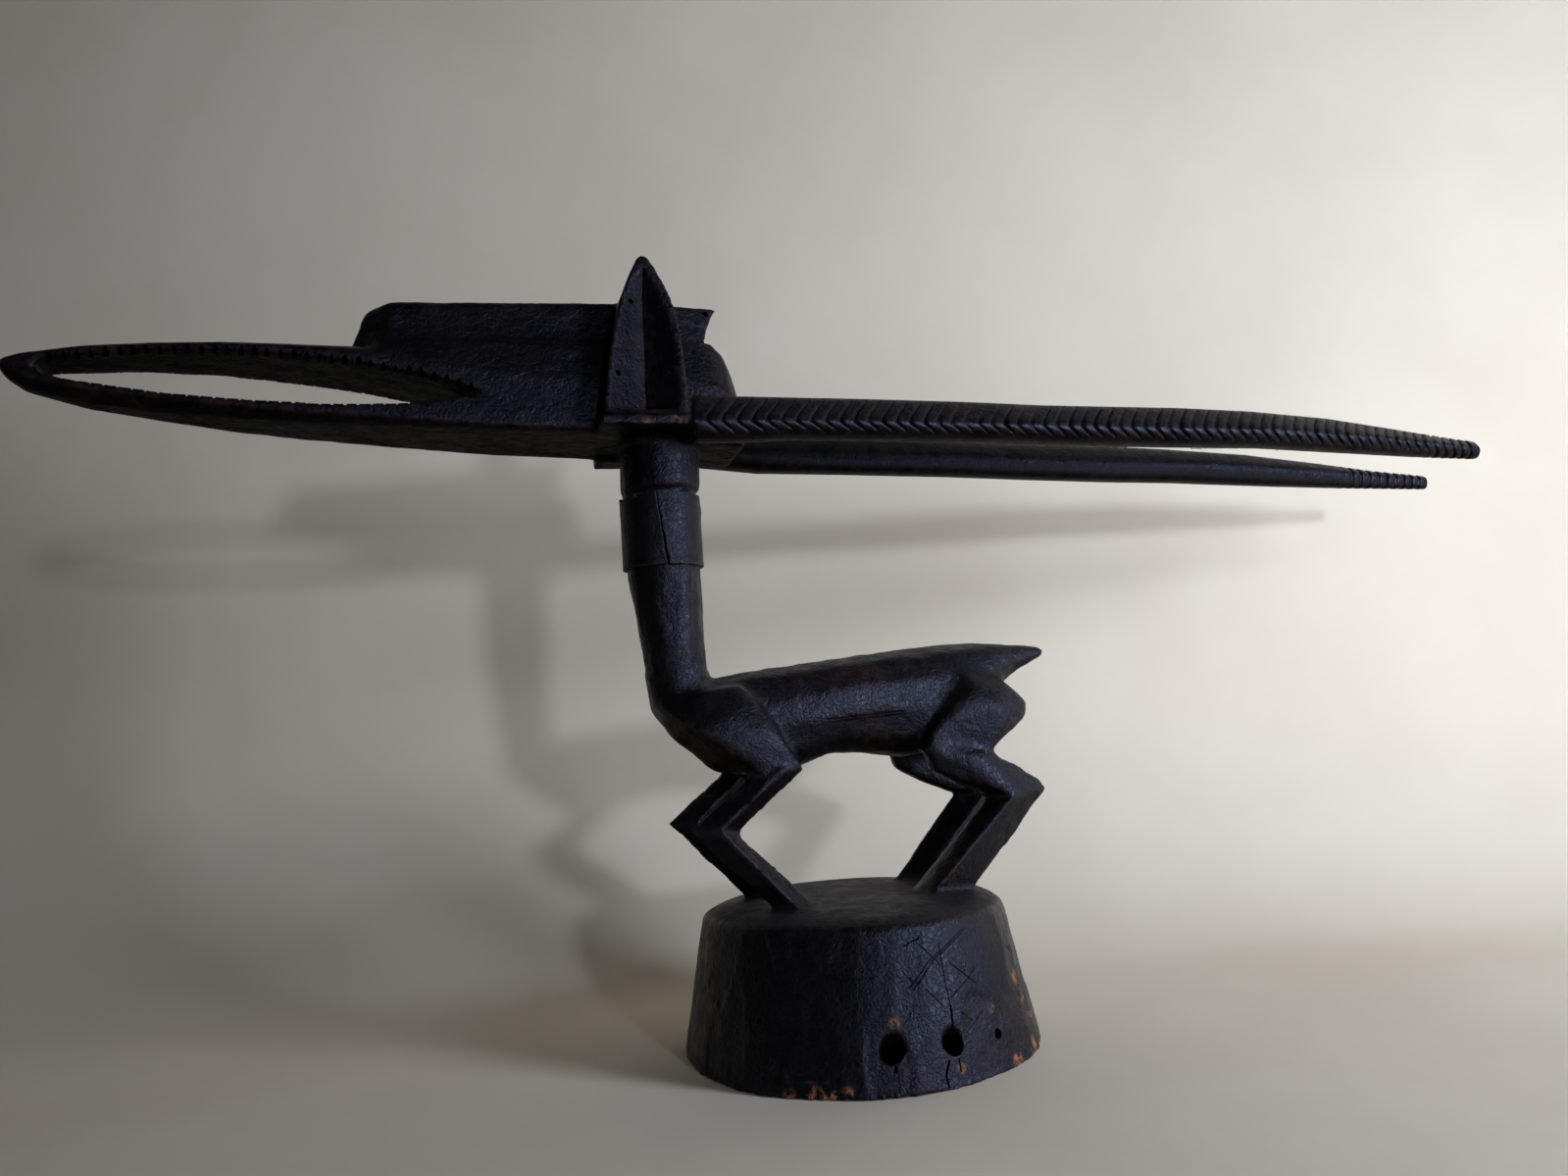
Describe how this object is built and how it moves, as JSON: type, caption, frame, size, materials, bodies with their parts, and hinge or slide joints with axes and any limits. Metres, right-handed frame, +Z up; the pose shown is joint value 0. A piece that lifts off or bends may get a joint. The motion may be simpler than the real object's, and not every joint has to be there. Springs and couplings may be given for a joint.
{
  "type": "antelope dance headdress",
  "caption": "Dark carved wooden antelope headdress: long toothed muzzle, block crest, pointed ears, swept-back chevron horns and zig-zag legs on a tapered plinth",
  "frame": {"origin": "centre of the plinth's underside", "axes": "-X towards the muzzle's tip, +X towards the horn tips, +Y towards the figure's right-hand side, +Z up"},
  "size_m": [0.7483, 0.1691, 0.3593],
  "materials": {
    "patinated_dark_wood": "smoked and oiled, satin, worn at the edges",
    "patinated_head_wood": "smoked and oiled, satin, with knife-cut chevrons and teeth",
    "dark_hide": "hide collar darkened like the wood, slightly glossy"
  },
  "bodies": {
    "root": {"body_and_plinth": "patinated_dark_wood", "head": "patinated_head_wood", "neck_band": "dark_hide"}
  },
  "joints": []
}
